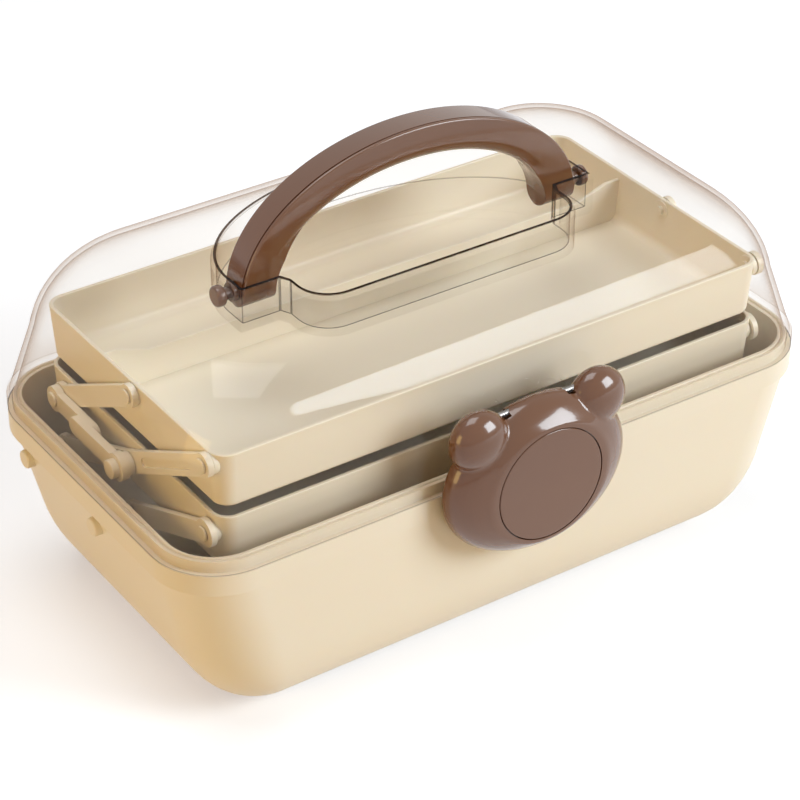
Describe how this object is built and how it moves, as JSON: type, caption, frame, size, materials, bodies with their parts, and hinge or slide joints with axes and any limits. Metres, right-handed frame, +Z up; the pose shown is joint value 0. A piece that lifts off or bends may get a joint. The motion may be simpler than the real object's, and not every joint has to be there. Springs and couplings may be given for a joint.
{
  "type": "accessory organizer box with handle",
  "caption": "Oblong carry box with a clear domed lid on rear hinges, a folding top handle, a domed front latch and stacked trays that lift on swing arms.",
  "frame": {"origin": "centre of the base's flat underside", "axes": "+Z up, X along the box's length with +X to the right seen from the front, -Y out of the front with the latch"},
  "size_m": [0.3076, 0.1966, 0.1993],
  "materials": {
    "cream_plastic": "satin",
    "clear_plastic": "clear gloss",
    "brown_plastic": "gloss",
    "pin_steel": "satin"
  },
  "bodies": {
    "base": {"base_tub": "cream_plastic", "base_pivot_pins_left": "cream_plastic", "base_pivot_pins_right": "cream_plastic", "lid_hinge_pins": "pin_steel"},
    "lid": {"lid": "clear_plastic", "latch_hinge_pin": "pin_steel"},
    "latch": {"latch_body": "brown_plastic", "latch_disc": "brown_plastic"},
    "handle": {"handle": "brown_plastic", "handle_peg_left": "brown_plastic", "handle_peg_right": "brown_plastic"},
    "long_arms": {"long_arm_left": "cream_plastic", "long_arm_right": "cream_plastic"},
    "front_links": {"front_link_left": "cream_plastic", "front_link_right": "cream_plastic"},
    "mid_tray": {"mid_tray": "cream_plastic", "strap_left": "cream_plastic", "strap_right": "cream_plastic", "mid_front_pin_left": "cream_plastic", "mid_centre_pin_left": "cream_plastic", "mid_rear_pin_left": "cream_plastic", "mid_front_pin_right": "cream_plastic", "mid_centre_pin_right": "cream_plastic", "mid_rear_pin_right": "cream_plastic"},
    "top_tray": {"top_tray": "cream_plastic", "top_front_pin_left": "cream_plastic", "top_rear_pin_left": "cream_plastic", "top_front_pin_right": "cream_plastic", "top_rear_pin_right": "cream_plastic"},
    "rear_links": {"rear_link_left": "cream_plastic", "rear_link_right": "cream_plastic"}
  },
  "joints": [
    {"name": "lid_hinge", "type": "hinge", "parent": "base", "child": "lid", "pos_m": [0, 0.091, 0.0865], "axis": [-1, 0, 0], "range_deg": [0, 120]},
    {"name": "latch_hinge", "type": "hinge", "parent": "lid", "child": "latch", "pos_m": [0, -0.0895, 0.1165], "axis": [-1, 0, 0], "range_deg": [0, 80]},
    {"name": "handle_fold", "type": "hinge", "parent": "lid", "child": "handle", "pos_m": [0, 0.0007, 0.149], "axis": [-1, 0, 0], "range_deg": [0, 88]},
    {"name": "long_arm_swing", "type": "hinge", "parent": "base", "child": "long_arms", "pos_m": [0, 0.0535, 0.0663], "axis": [-1, 0, 0], "range_deg": [0, 40]},
    {"name": "front_link_swing", "type": "hinge", "parent": "base", "child": "front_links", "pos_m": [0, -0.0035, 0.0663], "axis": [-1, 0, 0], "range_deg": [0, 40]},
    {"name": "mid_tray_level", "type": "hinge", "parent": "long_arms", "child": "mid_tray", "pos_m": [0, -0.0045, 0.091], "axis": [-1, 0, 0], "range_deg": [-40, 0]},
    {"name": "top_tray_level", "type": "hinge", "parent": "long_arms", "child": "top_tray", "pos_m": [0, -0.0625, 0.1225], "axis": [-1, 0, 0], "range_deg": [-40, 0]},
    {"name": "rear_link_swing", "type": "hinge", "parent": "mid_tray", "child": "rear_links", "pos_m": [0, 0.0525, 0.091], "axis": [-1, 0, 0], "range_deg": [0, 40]}
  ],
  "couplings": [
    {"joint": "long_arm_swing", "follows": "lid_hinge", "ratio": 0.33333},
    {"joint": "front_link_swing", "follows": "lid_hinge", "ratio": 0.33333},
    {"joint": "mid_tray_level", "follows": "lid_hinge", "ratio": -0.33333},
    {"joint": "top_tray_level", "follows": "lid_hinge", "ratio": -0.33333},
    {"joint": "rear_link_swing", "follows": "lid_hinge", "ratio": 0.33333}
  ]
}
